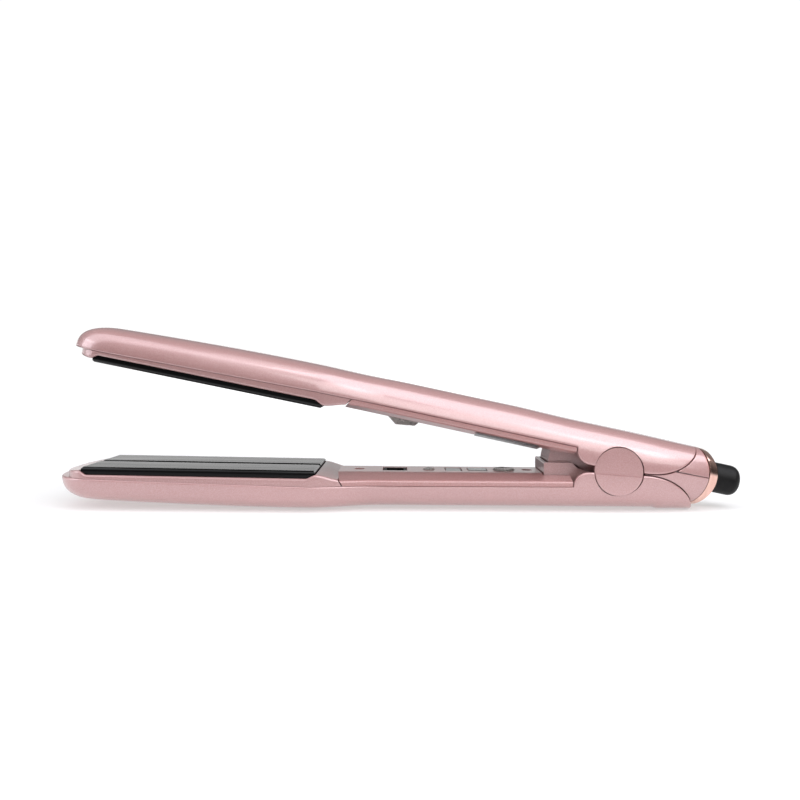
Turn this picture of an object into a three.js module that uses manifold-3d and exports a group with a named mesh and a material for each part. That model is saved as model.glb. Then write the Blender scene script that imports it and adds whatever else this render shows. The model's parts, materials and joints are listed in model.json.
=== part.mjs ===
// Wide-plate hair straightener, standing open. Millimetres, +X to the cord end, +Z up.
// Each arm is drawn in its own frame: s runs from the hinge axis towards the tip,
// h runs outward from the plane where the two arms meet, y runs across the arm.
import * as THREE from 'three';
import { mergeVertices } from 'three/addons/utils/BufferGeometryUtils.js';
import Module from 'manifold-3d';

const wasm = await Module();
wasm.setup();

// ---------------------------------------------------------------- driving dimensions
const HINGE_X = 93.44;
const HINGE_Z = 17.85;
const OPEN_ANGLE = THREE.MathUtils.degToRad(11.83);
const PLATE_TILT = THREE.MathUtils.degToRad(0.6);

const HEAD_HALF = 24.7;
const GRIP_HALF = 20;
const HINGE_HALF = 18.2;
const TIP = 244.5;
const NOSE_FROM = 222;
const HEAD_FROM = 134;
const GRIP_TO = 104;
const CROWN_GRIP = 17.3;
const CROWN_HEAD = 17.9;
const NOSE_DROP = 3.2;
const GRIP_SWELL = 0.55;
const HEEL_CROWN = 17.92;
const GRIP_POWER = 2.7;
const HEAD_POWER = 3.6;
const SKIN = 1.5;

const PLATE_FROM = 129.9;
const PLATE_TO = 230.4;
const PLATE_WIDTH = 44.5;
const PLATE_DEPTH = 6;
const PLATE_SIDE = 3.6;
const PLATE_SLAB = 2.4;
const PLATE_AT_HINGE = 1.4;
const RAIL_DROP = 3.15;
const WINDOW_GAP = 0.45;

const SEAM_GRIP = 6.5;
const SEAM_NOSE = 3.7;
const COVER_TOP = 1.9;
const COVER_TOP_HALF = 9.5;
const COVER_FROM = 19.6;
const COVER_TO = 118.6;
const SEAM_GAP = 0.16;

const LOBE_RADIUS = 6;
const LOBE_FLOOR = 0.3;
const CAP_RADIUS = 10.3;
const PIN_RADIUS = 2;
const BARREL_RADIUS = 5.2;
const BARREL_HALF = 9.2;
const BRACKET_IN = 9.6;
const BRACKET_OUT = 11.2;

const TAIL_AXIS = 5.2;
const TAIL_RISE = 11.65;
const TAIL_DROP = 13.7;
const WEDGE_SPLIT = -25.2;
const RING_EDGE = -39.6;
const RING_END = -43.3;
const RING_SEAT = -42.2;
const BOSS_RADIUS = 6.6;
const BOSS_END = -57;
const CORD_HOLE = 2.7;

// ---------------------------------------------------------------- geometry helpers
function closedBody(geometry) {
  const bare = geometry.clone();
  for (const key of Object.keys(bare.attributes)) {
    if (key !== 'position') bare.deleteAttribute(key);
  }
  const merged = mergeVertices(bare, 1e-4);
  return new wasm.Manifold(new wasm.Mesh({
    numProp: 3,
    vertProperties: new Float32Array(merged.attributes.position.array),
    triVerts: new Uint32Array(merged.index.array),
  }));
}

function toGeometry(manifold) {
  const mesh = manifold.getMesh();
  const geometry = new THREE.BufferGeometry();
  geometry.setAttribute('position', new THREE.BufferAttribute(new Float32Array(mesh.vertProperties), 3));
  geometry.setIndex(new THREE.BufferAttribute(new Uint32Array(mesh.triVerts), 1));
  return geometry;
}

// Closed skin through equal rings of points, from the first ring to the last.
function loft(rings) {
  const count = rings[0].length;
  const points = rings.flat();
  const index = [];
  for (let i = 0; i < rings.length - 1; i += 1) {
    for (let j = 0; j < count; j += 1) {
      const a = i * count + j;
      const b = i * count + (j + 1) % count;
      index.push(a, b, b + count, a, b + count, a + count);
    }
  }
  const last = (rings.length - 1) * count;
  for (let j = 1; j < count - 1; j += 1) {
    index.push(0, j + 1, j, last, last + j, last + j + 1);
  }
  const geometry = new THREE.BufferGeometry();
  const flat = new Float32Array(points.flatMap((p) => [p.x, p.y, p.z]));
  geometry.setAttribute('position', new THREE.BufferAttribute(flat, 3));
  geometry.setIndex(index);
  if (signedVolume(geometry) < 0) flip(geometry);
  return closedBody(geometry);
}

function signedVolume(geometry) {
  const p = geometry.attributes.position;
  const a = new THREE.Vector3();
  const b = new THREE.Vector3();
  const c = new THREE.Vector3();
  let volume = 0;
  for (let i = 0; i < geometry.index.count; i += 3) {
    a.fromBufferAttribute(p, geometry.index.getX(i));
    b.fromBufferAttribute(p, geometry.index.getX(i + 1));
    c.fromBufferAttribute(p, geometry.index.getX(i + 2));
    volume += a.dot(b.cross(c)) / 6;
  }
  return volume;
}

function flip(geometry) {
  const index = geometry.index;
  for (let i = 0; i < index.count; i += 3) {
    const keep = index.getX(i + 1);
    index.setX(i + 1, index.getX(i + 2));
    index.setX(i + 2, keep);
  }
}

// Side outline in (s, h), drawn across the arm from y0 to y1.
function sideSlab(outline, y0, y1) {
  const shape = new THREE.Shape(outline.map(([s, h]) => new THREE.Vector2(-s, h)));
  const geometry = new THREE.ExtrudeGeometry(shape, { depth: y1 - y0, bevelEnabled: false });
  geometry.rotateX(Math.PI / 2);
  geometry.translate(0, y1, 0);
  return closedBody(geometry);
}

// Cross section in (y, h), drawn along the arm from s0 to s1.
function runSlab(outline, s0, s1) {
  const ring = (s) => outline.map(([y, h]) => new THREE.Vector3(-s, y, h));
  return loft([ring(s0), ring(s1)]);
}

function box(s0, s1, y0, y1, h0, h1) {
  const geometry = new THREE.BoxGeometry(s1 - s0, y1 - y0, h1 - h0);
  geometry.translate(-(s0 + s1) / 2, (y0 + y1) / 2, (h0 + h1) / 2);
  return closedBody(geometry);
}

function crossRod(radius, y0, y1, s = 0, h = 0, sides = 32) {
  const geometry = new THREE.CylinderGeometry(radius, radius, y1 - y0, sides);
  geometry.translate(-s, (y0 + y1) / 2, h);
  return closedBody(geometry);
}

function uprightRod(radius, h0, h1, s, y = 0, sides = 24) {
  const geometry = new THREE.CylinderGeometry(radius, radius, h1 - h0, sides);
  geometry.rotateX(Math.PI / 2);
  geometry.translate(-s, y, (h0 + h1) / 2);
  return closedBody(geometry);
}

function lengthRod(radius, s0, s1, h, sides = 24) {
  const geometry = new THREE.CylinderGeometry(radius, radius, s1 - s0, sides);
  geometry.rotateZ(Math.PI / 2);
  geometry.translate(-(s0 + s1) / 2, 0, h);
  return closedBody(geometry);
}

const mix = THREE.MathUtils.lerp;

function ease(value, from, to) {
  return THREE.MathUtils.smoothstep(value, from, to);
}

function roundOff(t, power) {
  return Math.pow(Math.max(0, 1 - Math.pow(THREE.MathUtils.clamp(t, 0, 1), power)), 1 / power);
}

// ---------------------------------------------------------------- arm profile
function plateFace(s) {
  return PLATE_AT_HINGE - Math.tan(PLATE_TILT) * s;
}

function halfWidth(s) {
  const grip = mix(HINGE_HALF + 0.6, GRIP_HALF, ease(s, 15, GRIP_TO));
  const body = mix(grip, HEAD_HALF, ease(s, GRIP_TO, HEAD_FROM));
  const hinge = mix(HINGE_HALF, body, ease(s, 0, 30));
  const tail = 3.6 * Math.pow(Math.max(0, -s - 10) / 26, 1.6);
  return (hinge - tail) * roundOff((s - NOSE_FROM) / (TIP - NOSE_FROM), 2.6);
}

function crown(s, heel) {
  const grip = mix(CROWN_GRIP, CROWN_HEAD, ease(s, GRIP_TO, HEAD_FROM));
  const taper = NOSE_DROP * Math.pow(Math.max(0, s - HEAD_FROM) / 96, 1.6);
  const swell = heel ? 0 : GRIP_SWELL * ease(s, 20, 48) * (1 - ease(s, 95, 125));
  const back = heel ? mix(0, CROWN_GRIP - HEEL_CROWN, ease(-s, 16.5, 20)) : 0.4 * ease(-s, 5, 38);
  const full = grip + swell - taper - back;
  const end = roundOff((s - 226) / (TIP - 226), 2.4);
  return mix(SEAM_NOSE, full, end);
}

function squareness(s) {
  return mix(GRIP_POWER, HEAD_POWER, ease(s, 95, HEAD_FROM));
}

function stations(from, to) {
  const all = [-46, -43, -40, -37, -33, -28, -22, -19.5, -16.5, -10, 0, 14, 28, 45, 75, GRIP_TO];
  all.push(110, 116, 122, 128, HEAD_FROM, 160, 185, 205, NOSE_FROM, 228, 233, 237, 240, 242);
  all.push(243.4, 244.2, TIP - 0.02);
  const inside = all.filter((s) => s > from + 1 && s < to - 0.2);
  return [from, ...inside, to];
}

// Upper half of a rounded section, with a flat facet on its crown.
function archRing(s, half, top, power, base) {
  const steps = 15;
  const ring = [new THREE.Vector3(-s, half, base), new THREE.Vector3(-s, -half, base)];
  for (let i = steps; i >= 0; i -= 1) {
    const angle = Math.PI * i / steps;
    const c = Math.cos(angle);
    const y = Math.sign(c) * half * Math.pow(Math.abs(c), 2 / power);
    ring.push(new THREE.Vector3(-s, y, top * Math.pow(Math.sin(angle), 2 / power)));
  }
  return ring;
}

function armBody(from, to, inset, heel) {
  const rings = stations(from, to).map((s) => {
    const half = Math.max(0.4, halfWidth(s) - inset);
    const top = Math.max(0.4, crown(s, heel) - inset);
    return archRing(s, half, top, squareness(s), -1);
  });
  return loft(rings);
}

function seam(s) {
  return mix(SEAM_GRIP, SEAM_NOSE, THREE.MathUtils.clamp((s - HEAD_FROM) / (TIP - 12 - HEAD_FROM), 0, 1));
}

// Curve where the tail of a shell is cut away behind the hinge.
function fishtail(s) {
  const x = THREE.MathUtils.clamp((-s - 10) / 25.5, 0, 1);
  return 1.6 + 22 * (1 - Math.sqrt(1 - x * x));
}

function ringEdge(h) {
  return RING_EDGE + 0.0265 * (h - TAIL_AXIS) ** 2;
}

function ringEnd(h) {
  return RING_END + 0.033 * (h - TAIL_AXIS) ** 2;
}

function span(from, to, steps) {
  return Array.from({ length: steps + 1 }, (unused, i) => mix(from, to, i / steps));
}

function shellOutline() {
  const lobe = span(0, Math.PI / 2, 6).map((a) => [
    13.2 + LOBE_RADIUS * Math.cos(a),
    LOBE_FLOOR + LOBE_RADIUS * (1 - Math.sin(a)),
  ]);
  const tail = span(-10, -34.9, 12).map((s) => [s, fishtail(s)]);
  const front = [[TIP + 2, SEAM_NOSE], [TIP - 12, SEAM_NOSE], [HEAD_FROM, SEAM_GRIP], [19.2, SEAM_GRIP]];
  return [...front, ...lobe, [-6, LOBE_FLOOR], ...tail, [-36, 30], [TIP + 2, 30]];
}

// ---------------------------------------------------------------- pieces of one arm
function outerShell(heel) {
  const outer = armBody(-36, TIP - 0.02, 0, heel);
  const inner = armBody(-37, TIP - 8, SKIN, heel);
  return outer.subtract(inner)
    .intersect(sideSlab(shellOutline(), -30, 30))
    .subtract(crossRod(CAP_RADIUS + 0.35, -30, 30, 0, 0, 40));
}

function railHeight(s) {
  const rail = plateFace(s) + RAIL_DROP;
  const front = ease(s, PLATE_TO - 2.8, PLATE_TO + 0.8);
  const rear = 1 - ease(s, PLATE_FROM - 0.8, PLATE_FROM + 4);
  const lip = plateFace(s) + 1.4 + 2.3 * ease(-s, -PLATE_FROM, -COVER_TO) + 0.9 * ease(s, 232, 240);
  return mix(rail, lip, Math.max(front, rear));
}

function headFrame() {
  const end = TIP - 4.6;
  const list = [COVER_TO - 1, 122, 126, PLATE_FROM - 0.8, PLATE_FROM + 1.6, PLATE_FROM + 4];
  list.push(160, 190, 215, PLATE_TO - 2.8, PLATE_TO - 1, PLATE_TO + 0.8, 234, 237, 238.9, end);
  const rings = list.map((s) => {
    const nose = roundOff((s - NOSE_FROM - 4) / (end + 0.4 - NOSE_FROM - 4), 2.6);
    const half = (halfWidth(Math.min(s, NOSE_FROM)) - 0.25) * nose;
    const low = railHeight(s);
    const high = seam(s) - SEAM_GAP;
    const turn = Math.min(0.9 * nose, (high - low) / 2);
    return [[half, high], [half, low + turn], [half - turn, low], [-half + turn, low],
      [-half, low + turn], [-half, high]].map(([y, h]) => new THREE.Vector3(-s, y, h));
  });
  const opening = box(PLATE_FROM - WINDOW_GAP, PLATE_TO + WINDOW_GAP,
    -PLATE_WIDTH / 2 - WINDOW_GAP, PLATE_WIDTH / 2 + WINDOW_GAP, -5, 12);
  const slant = sideSlab([[122.6, 0], [117.9, SEAM_GRIP + 1], [100, SEAM_GRIP + 1], [100, 0]], -30, 30);
  const hollow = box(COVER_TO - 5, PLATE_FROM - 1.8, -17, 17, 4.9, 12);
  return loft(rings).subtract(opening).subtract(slant).subtract(hollow);
}

function coverRing(s, inset, lift) {
  const half = halfWidth(s) - 0.25 - inset;
  const edge = COVER_TOP + 2.4 + lift;
  const flat = COVER_TOP_HALF - inset / 3;
  const high = inset > 0 ? SEAM_GRIP + 2 : SEAM_GRIP - SEAM_GAP;
  return [[half, high], [half, edge + 0.5], [half - 0.8, edge - 0.2], [flat, COVER_TOP + lift],
    [-flat, COVER_TOP + lift], [-half + 0.8, edge - 0.2], [-half, edge + 0.5], [-half, high]]
    .map(([y, h]) => new THREE.Vector3(-s, y, h));
}

function gripCover(holes) {
  const list = [COVER_FROM, 28, 45, 75, GRIP_TO, 110, 116, 122.6];
  const outer = loft(list.map((s) => coverRing(s, 0, 0)));
  const inner = loft([COVER_FROM - 1, 28, 45, 75, GRIP_TO, 110, 116].map((s) => coverRing(s, 1.7, 1.6)));
  const slant = sideSlab([[122.2, 0], [117.4, SEAM_GRIP + 1], [130, SEAM_GRIP + 1], [130, 0]], -30, 30);
  return holes.reduce((body, hole) => body.subtract(hole), outer.subtract(inner).subtract(slant));
}

// The plate group sits on the middle of the plate face and is tilted with it.
const PLATE_MID = (PLATE_FROM + PLATE_TO) / 2;
const PLATE_LENGTH = (PLATE_TO - PLATE_FROM) / Math.cos(PLATE_TILT);

function plateBody() {
  const w = PLATE_WIDTH / 2;
  const outline = [[-w, PLATE_SIDE], [-w, 1.7], [-w + 0.5, 0.5], [-w + 1.7, 0], [-2.1, 0], [-1.2, 0.8],
    [1.2, 0.8], [2.1, 0], [w - 1.7, 0], [w - 0.5, 0.5], [w, 1.7], [w, PLATE_SIDE],
    [w - 1.2, PLATE_SIDE], [w - 1.2, PLATE_DEPTH],
    [w - 2.6, PLATE_DEPTH], [w - 2.6, PLATE_SLAB], [-w + 2.6, PLATE_SLAB], [-w + 2.6, PLATE_DEPTH],
    [-w + 1.2, PLATE_DEPTH], [-w + 1.2, PLATE_SIDE]];
  const half = PLATE_LENGTH / 2;
  const shape = new THREE.Shape(outline.map(([y, h]) => new THREE.Vector2(y, h)));
  const geometry = new THREE.ExtrudeGeometry(shape, { depth: PLATE_LENGTH, bevelEnabled: false });
  geometry.applyMatrix4(new THREE.Matrix4().set(0, 0, 1, -half, 1, 0, 0, 0, 0, 1, 0, 0, 0, 0, 0, 1));
  const ends = sideSlab([[-half, 0.6], [-half + 0.6, 0], [half - 0.6, 0], [half, 0.6], [half, 2.1],
    [half - 5, PLATE_DEPTH], [-half, PLATE_DEPTH]], -w - 1, w + 1);
  return closedBody(geometry).intersect(ends);
}

function heaterBar() {
  return box(-38, 38, -9, 9, PLATE_SLAB + 0.3, PLATE_SLAB + 3.3);
}

function heaterClamp() {
  const roof = box(-40, 40, -12, 12, 6, 7);
  const near = box(-40, 40, -12, -10.8, PLATE_SLAB + 0.3, 6.5);
  const far = box(-40, 40, 10.8, 12, PLATE_SLAB + 0.3, 6.5);
  const port = box(-6, 6, -4, 4, 5, 8);
  return roof.add(near).add(far).subtract(port);
}

function temperatureSensor() {
  return box(-4.5, 4.5, -2.6, 2.6, PLATE_SLAB + 3.6, PLATE_SLAB + 6.2);
}

function thermalFuse() {
  return box(20, 34, 14, 18, PLATE_SLAB + 0.3, PLATE_SLAB + 4.3);
}

function cushion() {
  const ring = new THREE.LatheGeometry([
    new THREE.Vector2(1.6, 0), new THREE.Vector2(4, 0), new THREE.Vector2(4.4, 1.4),
    new THREE.Vector2(4, 2.8), new THREE.Vector2(1.6, 2.8), new THREE.Vector2(1.6, 0),
  ], 20);
  ring.rotateX(Math.PI / 2);
  return closedBody(ring);
}

// Tray that backs the cushions, held to the inside of the shell on four feet.
function plateTray() {
  const tray = box(PLATE_FROM + 4, PLATE_TO - 14, -16, 16, 10.75, 12.15);
  const slots = [171, 189].map((s) => box(s - 7, s + 7, -12.5, 12.5, 10, 13));
  const spots = [[140, 13], [140, -13], [208, 10], [208, -10]];
  const feet = spots.map(([s, y]) => uprightRod(2, 12, 13.6, s, y, 12));
  const cut = slots.reduce((body, slot) => body.subtract(slot), tray);
  return feet.reduce((body, foot) => body.add(foot), cut);
}

function coverScrew() {
  const head = new THREE.LatheGeometry([
    new THREE.Vector2(0, 0), new THREE.Vector2(1.9, 0), new THREE.Vector2(2.1, 0.5),
    new THREE.Vector2(1.1, 1.1), new THREE.Vector2(1.1, 6), new THREE.Vector2(0, 6),
  ], 16);
  head.rotateX(Math.PI / 2);
  const slot = new THREE.BoxGeometry(2.6, 0.6, 0.8);
  return closedBody(head).subtract(closedBody(slot));
}

// ---------------------------------------------------------------- hinge and spring
function hingeBlock() {
  const outline = [[28.8, 12], [28.8, -2], [28.1, -6], [18.2, -6], [17.6, -1.2], [14.5, -2.6], [11, -3.4],
    [7, -4], [0, -BARREL_RADIUS], [-8, 4], [-8, 12]];
  const barrel = crossRod(BARREL_RADIUS, -BARREL_HALF, BARREL_HALF);
  return sideSlab(outline, -BARREL_HALF, BARREL_HALF).add(barrel)
    .subtract(crossRod(PIN_RADIUS + 0.35, -20, 20))
    .subtract(uprightRod(4.7, -10, 6.2, 23.3))
    .subtract(box(-6, 14.5, -7, 7, 6.5, 13));
}

function hingeBracket() {
  const outline = [[30.8, 9.8], [30.8, -2.9], [18.6, -2.9], [16.2, -0.6], [12, 0.8], [6.5, 1.2], [5.3, 2],
    [4.6, 3.2], [0, 5.6], [-4, 6.4], [-4, 9.8]];
  const lug = crossRod(5.6, -BRACKET_OUT, BRACKET_OUT);
  const cheeks = sideSlab(outline, -BRACKET_OUT, BRACKET_OUT).add(lug);
  const inside = box(-12, 29.5, -BRACKET_IN, BRACKET_IN, -12, 8.3);
  const drain = box(4, 14, -5, 5, 7, 11);
  return cheeks.subtract(inside).subtract(drain).subtract(crossRod(PIN_RADIUS + 0.05, -20, 20));
}

class CoilPath extends THREE.Curve {
  constructor(radius, height, turns) {
    super();
    Object.assign(this, { radius, height, turns });
  }

  getPoint(t, target = new THREE.Vector3()) {
    const angle = Math.PI * 2 * this.turns * t;
    return target.set(this.radius * Math.cos(angle), this.radius * Math.sin(angle), this.height * t);
  }
}

function coilSpring(radius, wire, height, turns) {
  const section = new THREE.Shape(span(0, 5, 5).map((i) => {
    const angle = Math.PI * i / 3;
    return new THREE.Vector2(wire * Math.cos(angle), wire * Math.sin(angle));
  }));
  const path = new CoilPath(radius, height, turns);
  return closedBody(new THREE.ExtrudeGeometry(section, {
    steps: turns * 12, extrudePath: path, bevelEnabled: false, curveSegments: 6,
  }));
}

function hingeCap(side) {
  const profile = [[0, 12], [3.6, 12], [3.6, 16.1], [CAP_RADIUS, 16.1], [CAP_RADIUS, 17.7],
    [CAP_RADIUS - 0.5, 18.05], [6, 18.3], [0, 18.4]];
  const cap = new THREE.LatheGeometry(profile.map(([r, y]) => new THREE.Vector2(r, y)), 40);
  if (side < 0) cap.rotateX(Math.PI);
  const socket = crossRod(PIN_RADIUS + 0.05, side < 0 ? -15.2 : 11, side < 0 ? -11 : 15.2);
  return closedBody(cap).subtract(socket);
}

// ---------------------------------------------------------------- tail of the upper arm
function tailRing(s, half, inset) {
  const steps = 24;
  return span(0, steps - 1, steps - 1).map((i) => {
    const a = Math.PI * 2 * (i + 0.5) / steps;
    const y = Math.sign(Math.cos(a)) * half * Math.pow(Math.abs(Math.cos(a)), 2 / 2.8);
    const high = a < Math.PI ? TAIL_RISE - inset : inset - TAIL_DROP;
    const h = high * Math.pow(Math.abs(Math.sin(a)), 2 / 2.5);
    return new THREE.Vector3(-s, y, TAIL_AXIS + h);
  });
}

function tailBody(from, to, inset) {
  const rings = [from, -20, -28, -33, -37, -40, -42.5, to].filter((s) => s <= from && s >= to).map((s) => {
    const end = 2.4 * ease(-s, 37.5, 46);
    return tailRing(s, halfWidth(s) - inset, end + inset);
  });
  return loft(rings);
}

// Lower limit of the visible wedge: the lower shell's fishtail, turned by the open angle.
function openFishtail(clear) {
  const c = Math.cos(OPEN_ANGLE);
  const d = Math.sin(OPEN_ANGLE);
  return span(-11, -34.9, 14).map((s) => [s * c - fishtail(s) * d, -s * d - fishtail(s) * c + clear]);
}

function wedgeUpper() {
  const top = span(WEDGE_SPLIT, -34.9, 8).map((s) => [s, fishtail(s) - 0.3]);
  const back = span(16.9, TAIL_AXIS + 0.15, 6).map((h) => [ringEdge(h) + 0.25, h]);
  const region = [[WEDGE_SPLIT, TAIL_AXIS + 0.15], ...top, ...back];
  return armBody(-20, -42, 0, false).intersect(sideSlab(region, -30, 30))
    .subtract(tailBody(-16, -42, 2.4));
}

function wedgeLower() {
  const top = span(-11, WEDGE_SPLIT, 8).map((s) => [s, Math.min(TAIL_AXIS, fishtail(s)) - 0.3]);
  const back = span(TAIL_AXIS - 0.15, -4.9, 6).map((h) => [ringEdge(h) + 0.25, h]);
  const face = [...top, ...back, ...openFishtail(0.45).reverse()];
  const skin = tailBody(-11.3, -42, 0).intersect(sideSlab(face, -30, 30));
  const edge = span(18, -12, 10).map((h) => [ringEdge(h) + 0.25, h]);
  const front = sideSlab([[-11.3, 18], ...edge, [-11.3, -12]], -30, 30);
  const core = tailBody(-11.3, -42, 2.8);
  const cavity = lengthRod(6.2, -37, -8, TAIL_AXIS).add(lengthRod(4, -42, -36, TAIL_AXIS));
  return skin.add(core).intersect(front).subtract(cavity).subtract(box(-13.5, -10, -19, 19, -9, 1));
}

function endRing() {
  const front = span(18, -9, 10).map((h) => [ringEdge(h), h]);
  const back = span(-9, 18, 10).map((h) => [ringEnd(h), h]);
  const neck = lengthRod(4, -46, -36, TAIL_AXIS);
  const seat = lengthRod(BOSS_RADIUS + 0.35, -46, RING_SEAT, TAIL_AXIS, 32);
  const band = tailBody(-33, -46, 0).intersect(sideSlab([...front, ...back], -30, 30));
  return band.subtract(neck.add(seat));
}

function swivelBoss() {
  const root = 0.3 - RING_SEAT;
  const profile = [[CORD_HOLE, 33.4], [3.65, 33.4], [3.65, root], [BOSS_RADIUS, root],
    [BOSS_RADIUS + 0.1, 50], [BOSS_RADIUS - 0.3, 54], [BOSS_RADIUS - 1.5, 56.2],
    [BOSS_RADIUS - 3, -BOSS_END], [CORD_HOLE, -BOSS_END], [CORD_HOLE, 33.4]];
  return closedBody(new THREE.LatheGeometry(profile.map(([r, x]) => new THREE.Vector2(r, x)), 32));
}

function retainer() {
  const profile = [[3.75, 34.2], [5.7, 34.2], [5.7, 35.6], [3.75, 35.6], [3.75, 34.2]];
  return closedBody(new THREE.LatheGeometry(profile.map(([r, x]) => new THREE.Vector2(r, x)), 24));
}

// ---------------------------------------------------------------- controls and electronics
const DIAL_S = 46.9;
const BUTTON_S = 80.6;

function controlBoard() {
  return box(38, 88, -12, 12, 7.2, 8.8).subtract(uprightRod(1.4, 6, 10, 86, 9, 12));
}

function buttonBody(radius, depth) {
  const profile = [[0, 0], [radius - 0.3, 0], [radius, 0.4], [radius, 2.4], [radius + 0.7, 2.4],
    [radius + 0.7, depth], [0, depth]];
  const knob = new THREE.LatheGeometry(profile.map(([r, x]) => new THREE.Vector2(r, x)), 28);
  knob.rotateX(Math.PI / 2);
  return closedBody(knob);
}

function leadPair(side, s0, s1) {
  const path = new THREE.CatmullRomCurve3([
    new THREE.Vector3(-s0, side * 7, 12.4), new THREE.Vector3(-mix(s0, s1, 0.3), side * 5, 13),
    new THREE.Vector3(-mix(s0, s1, 0.7), side * 4, 13), new THREE.Vector3(-s1, side * 8, 12.9),
  ]);
  const ring = new THREE.Shape(span(0, 7, 7).map((i) => {
    const a = Math.PI * i / 4;
    return new THREE.Vector2(0.8 * Math.cos(a), 0.8 * Math.sin(a));
  }));
  return closedBody(new THREE.ExtrudeGeometry(ring, { steps: 10, extrudePath: path, bevelEnabled: false }));
}

// ---------------------------------------------------------------- assembly
const model = new THREE.Group();
const lowerArm = new THREE.Group();
const upperArm = new THREE.Group();
lowerArm.position.set(HINGE_X, 0, HINGE_Z);
upperArm.position.set(HINGE_X, 0, HINGE_Z);
upperArm.rotation.y = OPEN_ANGLE;
model.add(lowerArm, upperArm);

const PAINT = { color: 0xd2a49c, roughness: 0.32, metalness: 0.55 };
const FRAME = { color: 0xcb9c93, roughness: 0.36, metalness: 0.5 };
const CERAMIC = { color: 0x151517, roughness: 0.22, metalness: 0.1 };
const COPPER = { color: 0xb58476, roughness: 0.15, metalness: 0.9 };
const RUBBER = { color: 0x121213, roughness: 0.55, metalness: 0 };
const STEEL = { color: 0xa9abad, roughness: 0.35, metalness: 1 };
const MICA = { color: 0xd8cfb8, roughness: 0.8, metalness: 0 };
const SILICONE = { color: 0xb9402f, roughness: 0.7, metalness: 0 };
const BOARD = { color: 0x1d5a38, roughness: 0.6, metalness: 0 };
const GLASS = { color: 0x26262a, roughness: 0.12, metalness: 0 };
const RESIN = { color: 0x9a9694, roughness: 0.5, metalness: 0 };
const WIRE = { color: 0x8b2f2a, roughness: 0.6, metalness: 0 };

// Pieces of the lower arm are drawn like the upper arm's and mirrored through the meeting plane.
function place(parent, name, body, look, mirrored = false) {
  const geometry = toGeometry(body);
  if (mirrored) {
    geometry.scale(1, 1, -1);
    flip(geometry);
  }
  const mesh = new THREE.Mesh(geometry, new THREE.MeshStandardMaterial(look));
  mesh.name = name;
  parent.add(mesh);
  return mesh;
}

function addArm(arm, prefix, mirrored, holes) {
  const sign = mirrored ? -1 : 1;
  place(arm, `${prefix}_shell`, outerShell(mirrored), PAINT, mirrored);
  place(arm, `${prefix}_head_frame`, headFrame(), FRAME, mirrored);
  place(arm, `${prefix}_grip_cover`, gripCover(holes), PAINT, mirrored);
  place(arm, `${prefix}_plate_tray`, plateTray(), MICA, mirrored);
  const seat = new THREE.Group();
  seat.position.set(-PLATE_MID, 0, sign * plateFace(PLATE_MID));
  seat.rotation.y = -sign * PLATE_TILT;
  arm.add(seat);
  place(seat, `${prefix}_plate`, plateBody(), CERAMIC, mirrored);
  place(seat, `${prefix}_heater`, heaterBar(), MICA, mirrored);
  place(seat, `${prefix}_heater_clamp`, heaterClamp(), STEEL, mirrored);
  place(seat, `${prefix}_temperature_sensor`, temperatureSensor(), RESIN, mirrored);
  place(seat, `${prefix}_thermal_fuse`, thermalFuse(), STEEL, mirrored);
  [['front', 206], ['rear', 154]].forEach(([where, s]) => {
    const pad = place(arm, `${prefix}_cushion_${where}`, cushion(), SILICONE, mirrored);
    pad.position.set(-s, 0, sign * 7.6);
  });
  [[112, 'head'], [36.5, 'hinge']].forEach(([s, where]) => {
    const screw = place(arm, `${prefix}_screw_${where}`, coverScrew(), STEEL, mirrored);
    screw.position.set(-s, 0, sign * (COVER_TOP + 0.5));
  });
  place(arm, `${prefix}_heater_lead`, leadPair(1, 34, 124), WIRE, mirrored);
}

const screwHoles = [112, 36.5].map((s) => uprightRod(2.4, 0, 9, s, 0, 16));
const lowerHoles = [
  ...screwHoles,
  box(15, 31.3, -BRACKET_OUT - 0.5, BRACKET_OUT + 0.5, -1, 12),
  uprightRod(4.95, 0, 9, DIAL_S, 0, 28),
  box(54.4, 63.4, -4.2, 4.2, COVER_TOP - 1, COVER_TOP + 0.5),
  box(65.8, 73.4, -5, 5, 0, 9),
  uprightRod(2.75, 0, 9, BUTTON_S, 0, 20),
  box(90.5, 101.5, -5, 5, 0, 9),
];
const upperHoles = [
  ...screwHoles,
  box(15, 34, -BRACKET_OUT - 1, BRACKET_OUT + 1, -1, 12),
  box(86.8, 102.4, -3.2, 3.2, 0, 9),
];
addArm(lowerArm, 'lower', true, lowerHoles);
addArm(upperArm, 'upper', false, upperHoles);

place(lowerArm, 'hinge_bracket', hingeBracket(), FRAME, true);
place(lowerArm, 'hinge_pin', crossRod(PIN_RADIUS, -14.8, 14.8), STEEL);
place(lowerArm, 'hinge_cap_near', hingeCap(-1), PAINT);
place(lowerArm, 'hinge_cap_far', hingeCap(1), PAINT);
place(upperArm, 'hinge_block', hingeBlock(), FRAME);

const spring = place(lowerArm, 'opening_spring', coilSpring(3.1, 0.45, 17.6, 6), STEEL);
spring.position.set(-24.1, 0, -7.3);
spring.rotation.y = OPEN_ANGLE / 2;

// Guide tab under the upper arm and the socket it drops into.
const tabOutline = [[101.8, 8], [101.8, 1.6], [97.6, -1.5], [89, -0.4], [87.4, 1.6], [87.4, 8]];
place(upperArm, 'guide_tab', sideSlab(tabOutline, -2.8, 2.8), RESIN);
const socket = box(90.9, 101.1, -4.6, 4.6, COVER_TOP + 0.1, 8).subtract(box(92.2, 99.8, -3.4, 3.4, 0, 7));
place(lowerArm, 'guide_socket', socket, RUBBER, true);

// Blank rating label on the near flank of the upper cover.
const label = place(upperArm, 'rating_label', box(35, 63, -2.6, 2.6, 0, 0.2), GLASS);
label.position.set(0, -13.9, 2.27);
label.rotation.x = -Math.atan2(2.2, 8.6);

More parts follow.
